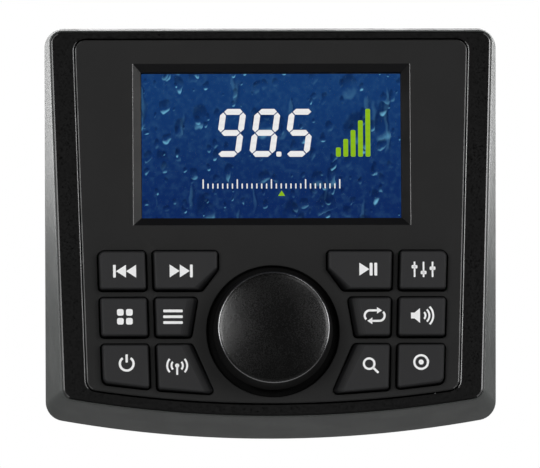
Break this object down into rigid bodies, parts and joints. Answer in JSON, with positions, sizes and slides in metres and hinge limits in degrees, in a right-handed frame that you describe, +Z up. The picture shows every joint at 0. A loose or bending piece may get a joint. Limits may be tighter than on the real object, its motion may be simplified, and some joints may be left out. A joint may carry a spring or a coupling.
{
  "type": "marine stereo",
  "caption": "Dash-mounted marine stereo with a tilted face, colour display, push buttons round a rotary knob, and a studded rear chassis.",
  "frame": {"origin": "centre of the four mounting studs on the dash surface, at the back of the panel gasket", "axes": "+X to the right seen from the front, +Y back into the dash along the studs, +Z up"},
  "size_m": [0.116, 0.0838, 0.1056],
  "materials": {
    "bezel_grey": "satin grey moulding",
    "frame_black": "fine textured black",
    "plate_charcoal": "matte charcoal",
    "window_clear": "clear polished",
    "display_blue": "lit display",
    "button_black": "soft matte",
    "knob_black": "matte black",
    "knob_satin": "satin sparkle",
    "seal_rubber": "matte",
    "gasket_foam": "closed-cell foam",
    "bright_steel": "zinc plated",
    "chassis_black": "fine black powder coat",
    "sink_aluminium": "extruded",
    "board_green": "solder mask",
    "black_plastic": "moulded",
    "white_plastic": "moulded",
    "ribbon_amber": "film",
    "ribbon_grey": "film",
    "capacitor_sleeve": "shrink sleeve",
    "pad_grey": "soft pad",
    "contact_brass": "gold plated"
  },
  "bodies": {
    "housing": {"outer_bezel": "bezel_grey", "face_frame": "frame_black", "face_plate": "plate_charcoal", "display_window": "window_clear", "window_seal": "seal_rubber", "lcd_panel": "display_blue", "lcd_tray": "bright_steel", "encoder_body": "bright_steel", "encoder_nut": "bright_steel", "encoder_washer": "seal_rubber", "keypad_mat": "seal_rubber", "tact_switches": "black_plastic", "control_board": "board_green", "control_board_screws": "bright_steel", "processor_chip": "black_plastic", "ribbon_socket": "white_plastic", "display_ribbon": "ribbon_amber", "link_sockets": "white_plastic", "link_ribbon": "ribbon_grey", "main_board": "board_green", "main_board_screws": "bright_steel", "capacitors": "capacitor_sleeve", "tuner_can": "bright_steel", "amplifier_chip": "black_plastic", "thermal_pad": "pad_grey", "amplifier_clamp": "bright_steel", "amplifier_screws": "bright_steel", "rear_chassis": "chassis_black", "chassis_flange": "chassis_black", "chassis_screws": "bright_steel", "mounting_studs": "bright_steel", "panel_gasket": "gasket_foam", "heat_sink": "sink_aluminium", "heat_sink_screws": "bright_steel", "harness_socket": "black_plastic", "harness_pins": "contact_brass", "antenna_socket": "bright_steel", "line_out_jacks": "contact_brass"},
    "button_previous_body": {"button_previous": "button_black"},
    "button_next_body": {"button_next": "button_black"},
    "button_mode_body": {"button_mode": "button_black"},
    "button_menu_body": {"button_menu": "button_black"},
    "button_power_body": {"button_power": "button_black"},
    "button_band_body": {"button_band": "button_black"},
    "button_equaliser_body": {"button_equaliser": "button_black"},
    "button_play_pause_body": {"button_play_pause": "button_black"},
    "button_loudness_body": {"button_loudness": "button_black"},
    "button_repeat_body": {"button_repeat": "button_black"},
    "button_mono_body": {"button_mono": "button_black"},
    "button_scan_body": {"button_scan": "button_black"},
    "knob_push": {"push_slider": "white_plastic"},
    "knob": {"volume_knob": "knob_black", "knob_cap": "knob_satin", "encoder_shaft": "bright_steel"}
  },
  "joints": [
    {"name": "previous_press", "type": "slide", "parent": "housing", "child": "button_previous_body", "axis": [0, 0.9903, -0.1392], "range_m": [0, 0.0008], "stiffness_N_per_m": 600},
    {"name": "next_press", "type": "slide", "parent": "housing", "child": "button_next_body", "axis": [0, 0.9903, -0.1392], "range_m": [0, 0.0008], "stiffness_N_per_m": 600},
    {"name": "mode_press", "type": "slide", "parent": "housing", "child": "button_mode_body", "axis": [0, 0.9903, -0.1392], "range_m": [0, 0.0008], "stiffness_N_per_m": 600},
    {"name": "menu_press", "type": "slide", "parent": "housing", "child": "button_menu_body", "axis": [0, 0.9903, -0.1392], "range_m": [0, 0.0008], "stiffness_N_per_m": 600},
    {"name": "power_press", "type": "slide", "parent": "housing", "child": "button_power_body", "axis": [0, 0.9903, -0.1392], "range_m": [0, 0.0008], "stiffness_N_per_m": 600},
    {"name": "band_press", "type": "slide", "parent": "housing", "child": "button_band_body", "axis": [0, 0.9903, -0.1392], "range_m": [0, 0.0008], "stiffness_N_per_m": 600},
    {"name": "equaliser_press", "type": "slide", "parent": "housing", "child": "button_equaliser_body", "axis": [0, 0.9903, -0.1392], "range_m": [0, 0.0008], "stiffness_N_per_m": 600},
    {"name": "play_pause_press", "type": "slide", "parent": "housing", "child": "button_play_pause_body", "axis": [0, 0.9903, -0.1392], "range_m": [0, 0.0008], "stiffness_N_per_m": 600},
    {"name": "loudness_press", "type": "slide", "parent": "housing", "child": "button_loudness_body", "axis": [0, 0.9903, -0.1392], "range_m": [0, 0.0008], "stiffness_N_per_m": 600},
    {"name": "repeat_press", "type": "slide", "parent": "housing", "child": "button_repeat_body", "axis": [0, 0.9903, -0.1392], "range_m": [0, 0.0008], "stiffness_N_per_m": 600},
    {"name": "mono_press", "type": "slide", "parent": "housing", "child": "button_mono_body", "axis": [0, 0.9903, -0.1392], "range_m": [0, 0.0008], "stiffness_N_per_m": 600},
    {"name": "scan_press", "type": "slide", "parent": "housing", "child": "button_scan_body", "axis": [0, 0.9903, -0.1392], "range_m": [0, 0.0008], "stiffness_N_per_m": 600},
    {"name": "knob_press", "type": "slide", "parent": "housing", "child": "knob_push", "axis": [0, 0.9903, -0.1392], "range_m": [0, 0.0006], "stiffness_N_per_m": 2500},
    {"name": "knob_turn", "type": "hinge", "parent": "knob_push", "child": "knob", "pos_m": [0, -0.01809, -0.02488], "axis": [0, -0.9903, 0.1392], "continuous": true}
  ]
}
